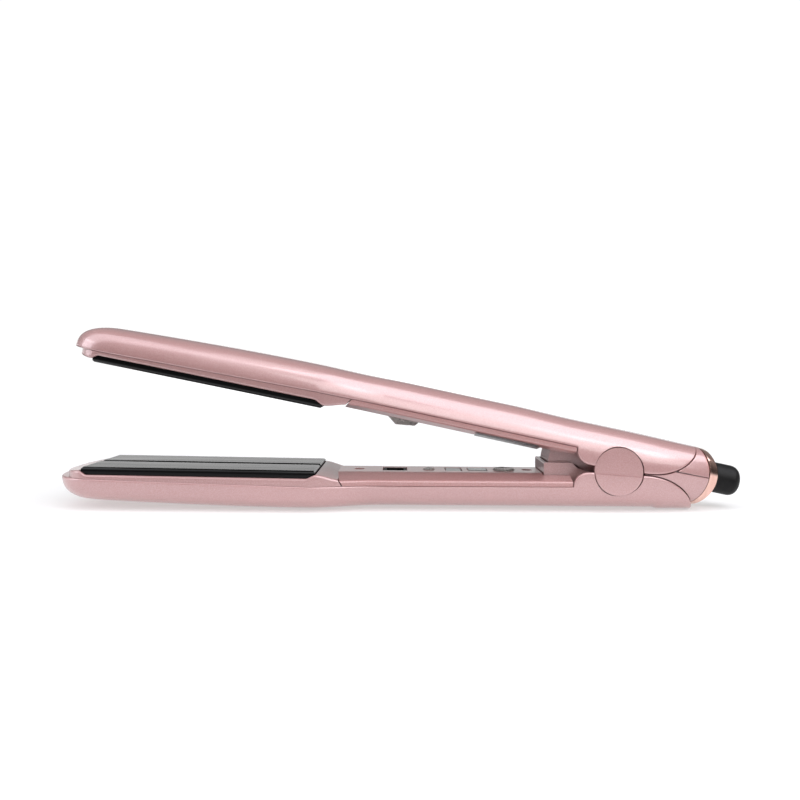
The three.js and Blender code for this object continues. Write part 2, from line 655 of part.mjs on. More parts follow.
place(lowerArm, 'control_board', controlBoard(), BOARD, true);
const dial = place(lowerArm, 'dial', buttonBody(4.6, 4.6), RESIN, true);
dial.position.set(-DIAL_S, 0, 0.7 - COVER_TOP);
const button = place(lowerArm, 'power_button', buttonBody(2.4, 4.6), RESIN, true);
button.position.set(-BUTTON_S, 0, 0.5 - COVER_TOP);
place(lowerArm, 'display_window', box(66.2, 73, -4.6, 4.6, COVER_TOP + 0.1, COVER_TOP + 1.2), GLASS, true);
place(lowerArm, 'display_module', box(66.6, 72.6, -4.2, 4.2, COVER_TOP + 1.5, 6.9), GLASS, true);
place(lowerArm, 'scale_label', box(54.8, 63, -3.8, 3.8, COVER_TOP - 0.1, COVER_TOP + 0.2), GLASS, true);

place(upperArm, 'tail_wedge_upper', wedgeUpper(), PAINT);
place(upperArm, 'tail_wedge_lower', wedgeLower(), PAINT);
place(upperArm, 'tail_ring', endRing(), COPPER);
const swivel = new THREE.Group();
swivel.position.z = TAIL_AXIS;
swivel.rotation.z = -Math.PI / 2;
upperArm.add(swivel);
place(swivel, 'cord_swivel', swivelBoss(), RUBBER);
place(swivel, 'swivel_retainer', retainer(), STEEL);

export default model;
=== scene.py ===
"""Looks of a wide-plate hair straightener that stands open on its lower arm.

Each arm is drawn in its own frame, in millimetres: s runs from the hinge axis towards the tip,
h runs outward from the plane where the arms meet, and y runs across the arm.
"""
import json
import math

import bmesh
import bpy
from mathutils import Matrix, Vector


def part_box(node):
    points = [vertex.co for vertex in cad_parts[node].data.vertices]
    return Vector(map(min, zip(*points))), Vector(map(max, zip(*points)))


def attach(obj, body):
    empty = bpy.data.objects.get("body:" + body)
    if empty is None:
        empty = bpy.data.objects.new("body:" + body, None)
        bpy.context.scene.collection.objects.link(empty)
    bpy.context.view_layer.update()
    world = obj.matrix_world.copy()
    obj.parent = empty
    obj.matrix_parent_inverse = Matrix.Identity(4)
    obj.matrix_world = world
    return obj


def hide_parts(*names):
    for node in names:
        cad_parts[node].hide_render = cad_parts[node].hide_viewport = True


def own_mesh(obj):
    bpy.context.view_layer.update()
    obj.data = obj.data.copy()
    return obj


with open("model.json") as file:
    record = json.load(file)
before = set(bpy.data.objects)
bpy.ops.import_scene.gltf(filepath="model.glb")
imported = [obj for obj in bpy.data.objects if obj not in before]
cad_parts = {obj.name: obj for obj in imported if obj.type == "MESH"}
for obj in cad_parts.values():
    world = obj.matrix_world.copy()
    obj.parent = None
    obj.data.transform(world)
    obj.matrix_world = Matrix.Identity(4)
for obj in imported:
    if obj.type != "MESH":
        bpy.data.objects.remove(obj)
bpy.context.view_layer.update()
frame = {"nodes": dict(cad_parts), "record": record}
scene = bpy.context.scene

# ------------------------------------------------------------------ driving dimensions
MM = 0.001
AXIS = sum(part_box("hinge_pin"), Vector()) / 2
OPEN_ANGLE = math.radians(11.83)
PLATE_TILT = math.radians(0.6)

HEAD_HALF = 24.7
GRIP_HALF = 20.0
HINGE_HALF = 18.2
TIP = 244.5
NOSE_FROM = 222.0
HEAD_FROM = 134.0
GRIP_TO = 104.0
CROWN_GRIP = 17.3
CROWN_HEAD = 17.9
HEEL_CROWN = 17.92
NOSE_DROP = 3.2
GRIP_SWELL = 0.55
GRIP_POWER = 2.7
HEAD_POWER = 3.6
SKIN = 1.5
SHELL_EDGE_ROUND = 0.85
LEDGE = 0.6

PLATE_FROM = 129.9
PLATE_TO = 230.4
PLATE_WIDTH = 44.5
PLATE_DEPTH = 6.0
PLATE_SIDE = 3.6
PLATE_SLAB = 2.4
PLATE_AT_HINGE = 1.4
RAIL_DROP = 3.15
PLATE_ROUND = 1.7
PLATE_CHAMFER = 0.6
RIB_OUT = 1.2
RIB_IN = 2.6
GROOVE_HALF = 2.1
GROOVE_FLOOR = 1.2
GROOVE_DEPTH = 0.8
WINDOW_GAP = 0.45

SEAM_GRIP = 6.5
SEAM_NOSE = 3.7
SEAM_GAP = 0.03
COVER_TOP = 1.9
COVER_TOP_HALF = 9.5
COVER_FROM = 19.6
COVER_TO = 118.6
# s of the slanted joint between frame and cover: at the arm's inside, then at the seam
FRAME_SLANT = (122.6, 117.9)
COVER_SLANT = (122.2, 117.4)

LOBE_FROM = 13.2
LOBE_RADIUS = 6.0
LOBE_FLOOR = 0.3
TURN_CLEAR = 0.35
CAP_RADIUS = 10.3
CAP_CLEAR = CAP_RADIUS + TURN_CLEAR
CAP_STEM = 3.6
CAP_FROM = 12.0
CAP_BACK = 16.1
CAP_RIM = 17.75
CAP_TURN = 0.35
CAP_FACE = 18.1
CAP_DOME = 0.3
PARTING = -1.6
PARTING_LEAN = 0.9
PARTING_FLOOR = 17.5
PIN_RADIUS = 2.0
PIN_SNUG = PIN_RADIUS + 0.05
BARREL_RADIUS = 5.2
BARREL_HALF = 9.2
BRACKET_IN = 9.6
BRACKET_OUT = 11.2
LUG_RADIUS = 5.6

SPRING_TURNS = 6
SPRING_RADIUS = 3.1
SPRING_WIRE = 0.45
SPRING_HEIGHT = 17.6
SPRING_FOOT = (24.1, -7.3)
SPRING_WELL = 4.7
SPRING_WELL_S = 23.3

TAIL_AXIS = 5.2
TAIL_RISE = 11.65
TAIL_DROP = 13.7
WEDGE_SPLIT = -25.2
RING_EDGE = -39.6
RING_END = -43.3
RING_SEAT = -42.2
RING_JOINT = 0.25
THROAT_RADIUS = 6.2
NECK_RADIUS = 4.0
STEM_RADIUS = 3.65
BOSS_RADIUS = 6.6
BOSS_END = 57.0
CORD_HOLE = 2.7

DIAL_S = 46.9
BUTTON_S = 80.6
SCREWS = {"head": 112.0, "hinge": 36.5}
CUSHIONS = {"front": 206.0, "rear": 154.0}
CUSHION_FOOT = 7.6
CUSHION_TOP = 10.4

# half lengths of tools that pass right through a piece
REACH = 30
PIN_REACH = 20
TAIL_CENTRE = (0, 0, TAIL_AXIS)


# ------------------------------------------------------------------ small maths
def mix(a, b, t):
    return a + (b - a) * t


def clamp(t, low=0.0, high=1.0):
    return max(low, min(high, t))


def ease(value, start, stop):
    t = clamp((value - start) / (stop - start))
    return t * t * (3 - 2 * t)


def round_off(t, power):
    """Falls from 1 at t = 0 to 0 at t = 1 as a superellipse does."""
    return max(0.0, 1 - clamp(t) ** power) ** (1 / power)


def span(start, stop, steps):
    return [mix(start, stop, i / steps) for i in range(steps + 1)]


def swing(start, stop, steps):
    """Stations that bunch up towards stop, for a form that rounds off there."""
    return [mix(start, stop, math.sin(math.pi / 2 * i / steps)) for i in range(steps + 1)]


# ------------------------------------------------------------------ arm profile
def half_width(s):
    """Narrow by the hinge, widening to the head, drawn in at the tail and rounded off at the nose."""
    grip = mix(HINGE_HALF + 0.6, GRIP_HALF, ease(s, 15, GRIP_TO))
    body = mix(grip, HEAD_HALF, ease(s, GRIP_TO, HEAD_FROM))
    hinge = mix(HINGE_HALF, body, ease(s, 0, 30))
    tail = 3.6 * (max(0.0, -s - 10) / 26) ** 1.6
    return (hinge - tail) * round_off((s - NOSE_FROM) / (TIP - NOSE_FROM), 2.6)


def crown(s, heel):
    """Height of the arm's back; the lower arm has a heel at the tail, the upper a swell in its grip."""
    grip = mix(CROWN_GRIP, CROWN_HEAD, ease(s, GRIP_TO, HEAD_FROM))
    taper = NOSE_DROP * (max(0.0, s - HEAD_FROM) / 96) ** 1.6
    swell = 0 if heel else GRIP_SWELL * ease(s, 20, 48) * (1 - ease(s, 95, 125))
    back = mix(0, CROWN_GRIP - HEEL_CROWN, ease(-s, 16.5, 20)) if heel else 0.4 * ease(-s, 5, 38)
    return mix(SEAM_NOSE, grip + swell - taper - back, round_off((s - 226) / (TIP - 226), 2.4))


def squareness(s):
    """Power of the section's superellipse: a round grip, a squarer head."""
    return mix(GRIP_POWER, HEAD_POWER, ease(s, 95, HEAD_FROM))


def seam(s):
    return mix(SEAM_GRIP, SEAM_NOSE, clamp((s - HEAD_FROM) / (TIP - 12 - HEAD_FROM)))


def fishtail(s):
    """Elliptic arc that the shell's edge follows up to its tail."""
    x = clamp((-s - 10) / 25.5)
    return 1.6 + 22 * (1 - math.sqrt(1 - x * x))


def ring_edge(h):
    """Curved front edge of the bright end ring."""
    return RING_EDGE + 0.0265 * (h - TAIL_AXIS) ** 2


def ring_end(h):
    return RING_END + 0.033 * (h - TAIL_AXIS) ** 2


def plate_face(s):
    return PLATE_AT_HINGE - math.tan(PLATE_TILT) * s


def rail_height(s):
    """Inner edge of a head frame: a low rail beside the plate, with a lip at each end."""
    rail = plate_face(s) + RAIL_DROP
    front = ease(s, PLATE_TO - 2.8, PLATE_TO + 0.8)
    rear = 1 - ease(s, PLATE_FROM - 0.8, PLATE_FROM + 4)
    lip = plate_face(s) + 1.4 + 2.3 * ease(-s, -PLATE_FROM, -COVER_TO) + 0.9 * ease(s, 232, 240)
    return mix(rail, lip, max(front, rear))


def shell_edge(s):
    """Height of the lower edge of a shell: seam, lobe by the hinge, then fishtail."""
    if s > LOBE_FROM + LOBE_RADIUS:
        edge = seam(s)
    elif s > LOBE_FROM:
        edge = LOBE_FLOOR + LOBE_RADIUS - math.sqrt(max(0.0, LOBE_RADIUS ** 2 - (s - LOBE_FROM) ** 2))
    elif s > -10:
        edge = mix(LOBE_FLOOR, fishtail(-10), clamp((-6 - s) / 4))
    else:
        edge = fishtail(s)
    return edge


# ------------------------------------------------------------------ mesh tools
def arm_matrix(lower):
    turn = Matrix.Rotation(0 if lower else OPEN_ANGLE, 4, "Y")
    mirror = Matrix.Diagonal((1, 1, -1 if lower else 1, 1))
    return Matrix.Translation(AXIS) @ turn @ mirror @ Matrix.Scale(MM, 4)


LOWER = arm_matrix(True)
UPPER = arm_matrix(False)
UPRIGHT = Matrix.Translation(AXIS) @ Matrix.Scale(MM, 4)


def as_object(name, form, matrix):
    bmesh.ops.remove_doubles(form, verts=form.verts, dist=1e-4)
    bmesh.ops.delete(form, geom=[e for e in form.edges if not e.link_faces], context="EDGES")
    form.transform(matrix)
    form.normal_update()
    bmesh.ops.recalc_face_normals(form, faces=form.faces)
    if form.calc_volume(signed=True) < 0:
        bmesh.ops.reverse_faces(form, faces=form.faces)
    mesh = bpy.data.meshes.new(name)
    form.to_mesh(mesh)
    form.free()
    piece = bpy.data.objects.new(name, mesh)
    scene.collection.objects.link(piece)
    return piece


def loft(name, rings, matrix, closed=False):
    """Skin through rings of (s, y, h) points, capped at both ends or closed on itself."""
    form = bmesh.new()
    rows = [[form.verts.new((-s, y, h)) for s, y, h in ring] for ring in rings]
    count = len(rows[0])
    pairs = list(zip(rows, rows[1:]))
    if closed:
        pairs.append((rows[-1], rows[0]))
    for a, b in pairs:
        for i in range(count):
            j = (i + 1) % count
            form.faces.new((a[i], a[j], b[j], b[i]))
    if not closed:
        form.faces.new(rows[0])
        form.faces.new(rows[-1])
    return as_object(name, form, matrix)


def slab(name, outline, y0, y1, matrix):
    """Side outline of (s, h) points drawn across the arm."""
    return loft(name, [[(s, y, h) for s, h in outline] for y in (y0, y1)], matrix)


def across(name, outline, matrix):
    """Side outline that passes both sides of the arm, for cutting."""
    return slab(name, outline, -REACH, REACH, matrix)


def block(name, s0, s1, y0, y1, h0, h1, matrix):
    return slab(name, [(s0, h0), (s1, h0), (s1, h1), (s0, h1)], y0, y1, matrix)


def lathe(name, profile, matrix, axis, centre=(0, 0, 0), steps=96):
    """Profile of (radius, distance) points turned round an axis: s, y or h."""
    rings = []
    for i in range(steps):
        a = 2 * math.pi * i / steps
        u, v = math.cos(a), math.sin(a)
        ring = []
        for radius, along in profile:
            spot = {"s": (along, radius * u, radius * v), "y": (radius * u, along, radius * v),
                    "h": (radius * u, radius * v, along)}[axis]
            ring.append(tuple(c + p for c, p in zip(centre, spot)))
        rings.append(ring)
    return loft(name, rings, matrix, closed=True)


def drum(name, radius, start, stop, matrix, axis, centre=(0, 0, 0), steps=96):
    """Plain cylinder from start to stop along an axis."""
    profile = [(0, start), (radius, start), (radius, stop), (0, stop)]
    return lathe(name, profile, matrix, axis, centre, steps)


def rod(name, radius, h0, h1, s, matrix, steps=64):
    """Cylinder that stands across the arm's length at s."""
    return drum(name, radius, h0, h1, matrix, "h", (s, 0, 0), steps)


def rounded(points, radius, steps=5):
    """Closed outline with every corner turned into a short curve."""
    result = []
    for i, corner in enumerate(points):
        corner = Vector(corner)
        before = Vector(points[i - 1]) - corner
        after = Vector(points[(i + 1) % len(points)]) - corner
        reach = min(radius, 0.45 * before.length, 0.45 * after.length)
        start = corner + before.normalized() * reach
        stop = corner + after.normalized() * reach
        for t in span(0, 1, steps):
            result.append(tuple((1 - t) ** 2 * start + 2 * t * (1 - t) * corner + t * t * stop))
    return result


def bake(piece):
    """Applies the piece's modifiers."""
    graph = bpy.context.evaluated_depsgraph_get()
    old = piece.data
    mesh = bpy.data.meshes.new_from_object(piece.evaluated_get(graph))
    piece.modifiers.clear()
    piece.data = mesh
    bpy.data.meshes.remove(old)


def carve(piece, *tools, how="DIFFERENCE"):
    """Cuts each tool from the piece, or joins or intersects it, and removes the tool."""
    for tool in tools:
        change = piece.modifiers.new("carve", "BOOLEAN")
        change.operation = how
        change.solver = "MANIFOLD"
        change.object = tool
        bake(piece)
        mesh = tool.data
        bpy.data.objects.remove(tool)
        bpy.data.meshes.remove(mesh)
    return piece


def merge_close(piece, reach):
    """Joins points closer than reach and drops what collapses, so that the skin stays closed."""
    form = bmesh.new()
    form.from_mesh(piece.data)
    bmesh.ops.remove_doubles(form, verts=form.verts, dist=reach * MM)
    bmesh.ops.dissolve_degenerate(form, edges=form.edges, dist=reach * MM)
    form.to_mesh(piece.data)
    form.free()


def soften(piece, width, segments=3, angle=38):
    """Rounds the hard edges and keeps the flats flat under gloss."""
    merge_close(piece, 0.004)
    for polygon in piece.data.polygons:
        polygon.use_smooth = True
    if width:
        edge = piece.modifiers.new("edge", "BEVEL")
        edge.width = width * MM
        edge.segments = segments
        edge.limit_method = "ANGLE"
        edge.angle_limit = math.radians(angle)
        edge.miter_outer = "MITER_ARC"
        bake(piece)
    piece.data.set_sharp_from_angle(angle=math.radians(angle))
    weight = piece.modifiers.new("weight", "WEIGHTED_NORMAL")
    weight.keep_sharp = True
    weight.weight = 60
    bake(piece)
    return piece


def fit(piece, node, body, look):
    """The piece stands for a CAD node, rides on its body and takes its finish."""
    piece.data.materials.clear()
    piece.data.materials.append(look)
    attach(piece, body)
    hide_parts(node)
    return piece


# ------------------------------------------------------------------ finishes
class Finish:
    """A material built from nodes in the object's own coordinates."""

    def __init__(self, name):
        self.look = bpy.data.materials.new(name)
        self.look.use_nodes = True
        self.tree = self.look.node_tree
        self.shader = self.tree.nodes["Principled BSDF"]
        self.where = self.add("ShaderNodeTexCoord").outputs["Object"]

    def add(self, kind, settings=None, **inputs):
        made = self.tree.nodes.new(kind)
        for key, value in (settings or {}).items():
            setattr(made, key, value)
        for key, value in inputs.items():
            self.feed(made, key.replace("_", " "), value)
        return made

    def feed(self, target, key, value):
        socket = target.inputs[key]
        if isinstance(value, bpy.types.NodeSocket):
            self.tree.links.new(value, socket)
        else:
            socket.default_value = value

    def set(self, **inputs):
        for key, value in inputs.items():
            self.feed(self.shader, key.replace("_", " "), value)
        return self

    def stretched(self, scale):
        return self.add("ShaderNodeMapping", Vector=self.where, Scale=scale).outputs["Vector"]

    def noise(self, scale, detail=2.0, where=None):
        made = self.add("ShaderNodeTexNoise", Vector=where or self.where, Scale=scale, Detail=detail)
        return made.outputs["Fac"]

    def cells(self, scale, output="Color", where=None):
        made = self.add("ShaderNodeTexVoronoi", Vector=where or self.where, Scale=scale)
        return made.outputs[output]

    def ranged(self, value, low, high, start=0.3, stop=0.7):
        made = self.add("ShaderNodeMapRange", Value=value)
        made.inputs["From Min"].default_value = start
        made.inputs["From Max"].default_value = stop
        made.inputs["To Min"].default_value = low
        made.inputs["To Max"].default_value = high
        return made.outputs["Result"]

    def blend(self, factor, a, b):
        made = self.add("ShaderNodeMix", {"data_type": "RGBA"})
        self.feed_at(made, 0, factor)
        self.feed_at(made, 6, a if isinstance(a, bpy.types.NodeSocket) else (*a, 1))
        self.feed_at(made, 7, b if isinstance(b, bpy.types.NodeSocket) else (*b, 1))
        return made.outputs[2]

    def feed_at(self, target, index, value):
        if isinstance(value, bpy.types.NodeSocket):
            self.tree.links.new(value, target.inputs[index])
        else:
            target.inputs[index].default_value = value

    def bump(self, height, depth, strength, before=None):
        made = self.add("ShaderNodeBump", Height=height, Distance=depth, Strength=strength)
        if before is not None:
            self.feed(made, "Normal", before)
        return made.outputs["Normal"]


def tinted(finish, a, b, scale, detail=3.0, low=0.0, high=1.0):
    """Two tints in soft clouds."""
    amount = finish.ranged(finish.noise(scale, detail), low, high)
    return finish.blend(amount, a, b)


def lacquer(name, body, edge, rough, gloss, coat=1.0, ior=2.3):
    """Pearlescent rose-gold paint: fine flakes under a clear coat, with faint handling marks."""
    f = Finish(name)
    flakes = f.cells(5200)
    flake = f.add("ShaderNodeSeparateColor", Color=flakes).outputs["Red"]
    base = tinted(f, body, edge, 24, 2, 0.0, 0.35)
    pearl = f.blend(f.ranged(flake, 0.0, 0.3, 0.2, 1.0), base, (0.7, 0.5, 0.52))
    smear = f.noise(58, 4, f.stretched((0.35, 1, 1)))
    ripple = f.bump(f.noise(900, 1), 0.00002, 0.35)
    f.set(Base_Color=pearl, Metallic=0.12, Roughness=f.ranged(smear, rough - 0.03, rough + 0.05),
          IOR=ior, Coat_Weight=coat, Coat_IOR=1.5, Coat_Roughness=f.ranged(smear, gloss, gloss + 0.04))
    f.feed(f.shader, "Specular Tint", (1.0, 0.93, 0.97, 1))
    f.feed(f.shader, "Normal", f.bump(flake, 0.000004, 0.5, ripple))
    f.feed(f.shader, "Coat Normal", ripple)
    return f.look


def ceramic_look():
    f = Finish("black_ceramic")
    specks = f.cells(2600, "Distance")
    colour = f.blend(f.ranged(specks, 0.0, 1.0, 0.0, 0.12), (0.008, 0.008, 0.0085), (0.003, 0.003, 0.0032))
    swept = f.noise(260, 4, f.stretched((0.08, 1, 1)))
    f.set(Base_Color=colour, Roughness=f.ranged(swept, 0.12, 0.2), IOR=1.38)
    f.feed(f.shader, "Normal", f.bump(swept, 0.00001, 0.4))
    return f.look


def copper_look():
    f = Finish("rose_plating")
    brushed = f.noise(700, 3, f.stretched((1, 0.15, 0.15)))
    colour = f.blend(f.ranged(brushed, 0.0, 1.0), (0.74, 0.46, 0.39), (0.86, 0.58, 0.5))
    f.set(Base_Color=colour, Metallic=1.0, Roughness=f.ranged(brushed, 0.1, 0.17))
    f.feed(f.shader, "Normal", f.bump(brushed, 0.00001, 0.25))
    return f.look


def rubber_look():
    f = Finish("black_rubber")
    pebble = f.noise(2600, 3)
    colour = tinted(f, (0.003, 0.003, 0.0035), (0.008, 0.0075, 0.0075), 300)
    f.set(Base_Color=colour, Roughness=f.ranged(pebble, 0.34, 0.52), IOR=1.28)
    f.feed(f.shader, "Normal", f.bump(pebble, 0.00004, 0.6))
    return f.look


def steel_look():
    f = Finish("zinc_steel")
    drawn = f.noise(1500, 4, f.stretched((1, 1, 0.1)))
    colour = f.blend(f.ranged(drawn, 0.0, 1.0), (0.42, 0.43, 0.45), (0.62, 0.62, 0.63))
    f.set(Base_Color=colour, Metallic=1.0, Roughness=f.ranged(drawn, 0.24, 0.42))
    f.feed(f.shader, "Normal", f.bump(drawn, 0.00002, 0.4))
    return f.look


def plain_look(name, a, b, rough, scale, depth=0.00004):
    """Moulded or cut stock: two close tints, uneven gloss and a fine surface."""
    f = Finish(name)
    grain = f.noise(scale, 4)
    f.set(Base_Color=tinted(f, a, b, scale / 6), Roughness=f.ranged(grain, rough - 0.06, rough + 0.08))
    f.feed(f.shader, "Normal", f.bump(grain, depth, 0.5))
    return f.look


def board_look():
    f = Finish("circuit_board")
    tracks = f.cells(420, "Distance", f.stretched((1, 2.5, 1)))
    line = f.ranged(tracks, 1.0, 0.0, 0.28, 0.34)
    colour = f.blend(line, (0.012, 0.12, 0.05), (0.03, 0.22, 0.1))
    f.set(Base_Color=colour, Roughness=f.ranged(f.noise(300), 0.35, 0.5))
    f.feed(f.shader, "Normal", f.bump(line, 0.00003, 0.5))
    return f.look


def glass_look():
    f = Finish("smoked_window")
    haze = f.noise(150, 3)
    f.set(Base_Color=tinted(f, (0.02, 0.02, 0.023), (0.035, 0.034, 0.037), 90),
          Roughness=f.ranged(haze, 0.14, 0.24), Coat_Weight=0.3, Coat_Roughness=0.1)
    f.feed(f.shader, "Normal", f.bump(f.noise(700), 0.00001, 0.2))
    return f.look


def resin_look():
    f = Finish("smoky_resin")
    cloud = f.noise(200, 3)
    f.set(Base_Color=tinted(f, (0.45, 0.43, 0.41), (0.6, 0.58, 0.55), 120),
          Roughness=f.ranged(cloud, 0.22, 0.36), Transmission_Weight=0.35, IOR=1.46)
    f.feed(f.shader, "Normal", f.bump(f.noise(900), 0.00002, 0.4))
    return f.look


COVER_LOOK = lacquer("rose_cover_satin", (0.44, 0.212, 0.198), (0.38, 0.178, 0.165), 0.36, 0.1,
                     coat=0.8, ior=1.8)
LOOKS = {
    "paint": lacquer("rose_lacquer", (0.46, 0.225, 0.212), (0.40, 0.19, 0.178), 0.34, 0.05),
    "frame": lacquer("rose_lacquer_satin", (0.43, 0.215, 0.2), (0.37, 0.178, 0.165), 0.38, 0.12),
    "ceramic": ceramic_look(),
    "copper": copper_look(),
    "rubber": rubber_look(),
    "steel": steel_look(),
    "mica": plain_look("mica_sheet", (0.62, 0.56, 0.43), (0.74, 0.69, 0.57), 0.6, 900),
    "silicone": plain_look("red_silicone", (0.42, 0.06, 0.04), (0.5, 0.09, 0.06), 0.6, 1200),
    "board": board_look(),
    "dark_glass": glass_look(),
    "resin": resin_look(),
    "wire": plain_look("sleeved_wire", (0.3, 0.035, 0.03), (0.4, 0.06, 0.045), 0.5, 1600, 0.00008),
}


# ------------------------------------------------------------------ shells
def arch(half, top, power, start, steps):
    """Rounded half section from the near side over the crown, as (y, h) points."""
    first = math.asin(clamp((start / top) ** (power / 2), 0, 0.9999))
    points = []
    for a in span(first, math.pi - first, steps):
        c = math.cos(a)
        y = -math.copysign(half * abs(c) ** (2 / power), c)
        points.append((y, top * math.sin(a) ** (2 / power)))
    return points


def shell_ring(s, heel):
    """Section of a shell: outer arch, rounded lips at both edges and the inner wall."""
    half = max(0.4, half_width(s))
    top = crown(s, heel)
    low = min(shell_edge(s), top - 0.06)
    wall = min(SKIN, 0.5 * half, 0.6 * (top - low))
    turn = min(SHELL_EDGE_ROUND, 0.3 * (top - low), 0.6 * wall)
    outer = arch(half, top, squareness(s), low + turn, 76)
    roof = low if s > TIP - 8 else top - wall
    inner = [(y, clamp(h, low, roof)) for y, h in arch(half - wall, top - wall, squareness(s), low, 44)]
    reach = -outer[0][0]
    lip = [(reach - turn * (1 - math.cos(a)), low + turn - turn * math.sin(a))
           for a in span(math.radians(18), math.radians(90), 4)]
    near = [(-y, h) for y, h in reversed(lip)]
    return [(s, y, h) for y, h in near + outer + lip + inner[::-1]]


def shell_stations(heel):
    """Stations from where the fishtail meets the crown to the nose, closer where the form turns."""
    end = -10.0
    while fishtail(end - 0.02) < crown(end - 0.02, heel) - 0.1:
        end -= 0.02
    tail = [-10 - 25.5 * math.sin(q) for q in span(0, math.asin((-end - 10) / 25.5), 50)][::-1]
    disc = span(-9.5, 12.4, 30)
    lobe = swing(LOBE_FROM, LOBE_FROM + LOBE_RADIUS, 16)
    grip = span(19.3, 60, 22) + span(60, GRIP_TO, 18)[1:] + span(GRIP_TO, HEAD_FROM, 30)[1:]
    head = span(HEAD_FROM, NOSE_FROM, 34)[1:] + swing(NOSE_FROM, TIP - 0.03, 44)[1:]
    return tail + disc + lobe + grip + head


def outer_shell(matrix, heel):
    rings = [shell_ring(s, heel) for s in shell_stations(heel)]
    piece = loft("shell", rings, matrix)
    bore = drum("bore", CAP_CLEAR, -REACH, REACH, matrix, "y", steps=160)
    return soften(carve(piece, bore), 0.12, 2, 42)


# ------------------------------------------------------------------ head frame and grip cover
def corner(y, h, turn, side):
    """Quarter turn at a lower edge: from the wall to the floor, or back up on the other side."""
    steps = span(0, math.pi / 2, 5)
    points = [(y + side * turn * (1 - math.cos(a)), h + turn * (1 - math.sin(a))) for a in steps]
    return points if side < 0 else points[::-1]


def beyond_slant(line, far, matrix):
    """Everything from the slanted joint line to far along the arm."""
    foot, top = line
    high = SEAM_GRIP + 1
    return across("slant", [(foot, 0), (top, high), (far, high), (far, 0)], matrix)


def head_frame(matrix):
    end = TIP - 4.6
    stations = span(COVER_TO - 1, PLATE_FROM - 0.8, 12) + span(PLATE_FROM - 0.8, PLATE_FROM + 4, 10)[1:]
    stations += span(PLATE_FROM + 4, 222, 30)[1:] + span(222, PLATE_TO - 2.8, 6)[1:]
    stations += swing(PLATE_TO - 2.8, end, 30)[1:]
    rings = []
    for s in stations:
        nose = round_off((s - NOSE_FROM - 4) / (end + 0.4 - NOSE_FROM - 4), 2.6)
        half = (half_width(min(s, NOSE_FROM)) - LEDGE) * nose
        low = rail_height(s)
        high = seam(s) - SEAM_GAP
        turn = min(1.1 * nose, 0.8 * (high - low))
        ring = [(half, high)] + corner(half, low, turn, -1) + corner(-half, low, turn, 1) + [(-half, high)]
        rings.append([(s, y, h) for y, h in ring])
    piece = loft("frame", rings, matrix)
    wide = PLATE_WIDTH / 2 + WINDOW_GAP
    window = block("window", PLATE_FROM - WINDOW_GAP, PLATE_TO + WINDOW_GAP, -wide, wide, -5, 12, matrix)
    slant = beyond_slant(FRAME_SLANT, 100, matrix)
    hollow = block("hollow", COVER_TO - 5, PLATE_FROM - 1.8, -17, 17, 4.9, 12, matrix)
    return soften(carve(piece, window, slant, hollow), 0.22)


def cover_ring(s, inset, lift):
    """Section of a grip cover; inset and lift shrink it to the section of its hollow."""
    half = half_width(s) - LEDGE - inset
    edge = COVER_TOP + 2.4 + lift
    flat = COVER_TOP_HALF - inset / 3
    high = SEAM_GRIP + 2 if inset else SEAM_GRIP - SEAM_GAP
    side = [(half, high), (half, edge + 0.5), (half - 0.8, edge - 0.2), (flat, COVER_TOP + lift)]
    ring = side + [(-y, h) for y, h in reversed(side)]
    turned = rounded(ring, 0.12 if inset else 1.1)[6:-6]
    return [(s, y, h) for y, h in [ring[0], *turned, ring[-1]]]


def grip_cover(matrix, openings):
    stations = span(COVER_FROM, GRIP_TO, 34) + span(GRIP_TO, FRAME_SLANT[0], 16)[1:]
    piece = loft("cover", [cover_ring(s, 0, 0) for s in stations], matrix)
    inner = loft("inner", [cover_ring(s, 1.7, 1.6) for s in [COVER_FROM - 1] + span(28, 116, 22)], matrix)
    tools = [inner, beyond_slant(COVER_SLANT, 130, matrix)] + [opening(matrix) for opening in openings]
    tools += [rod("hole", 2.4, 0, 9, s, matrix) for s in SCREWS.values()]
    return soften(carve(piece, *tools), 0.16, 2)


def bay(s0, s1, half, h0=0.0, h1=9.0):
    """Square opening in a cover, made once the arm is known."""
    return lambda matrix: block("bay", s0, s1, -half, half, h0, h1, matrix)


def well(radius, s):
    """Round opening in a cover, made once the arm is known."""
    return lambda matrix: rod("well", radius, 0, 9, s, matrix)


LOWER_OPENINGS = [bay(15, 31.3, BRACKET_OUT + 0.5, -1, 12), well(4.95, DIAL_S),
                  bay(54.4, 63.4, 4.2, COVER_TOP - 1, COVER_TOP + 0.5), bay(65.8, 73.4, 5),
                  well(2.75, BUTTON_S), bay(90.5, 101.5, 5)]
UPPER_OPENINGS = [bay(15, 34, BRACKET_OUT + 1, -1, 12), bay(86.8, 102.4, 3.2)]


# ------------------------------------------------------------------ plates
PLATE_MID = (PLATE_FROM + PLATE_TO) / 2
PLATE_HALF = (PLATE_TO - PLATE_FROM) / 2 / math.cos(PLATE_TILT)


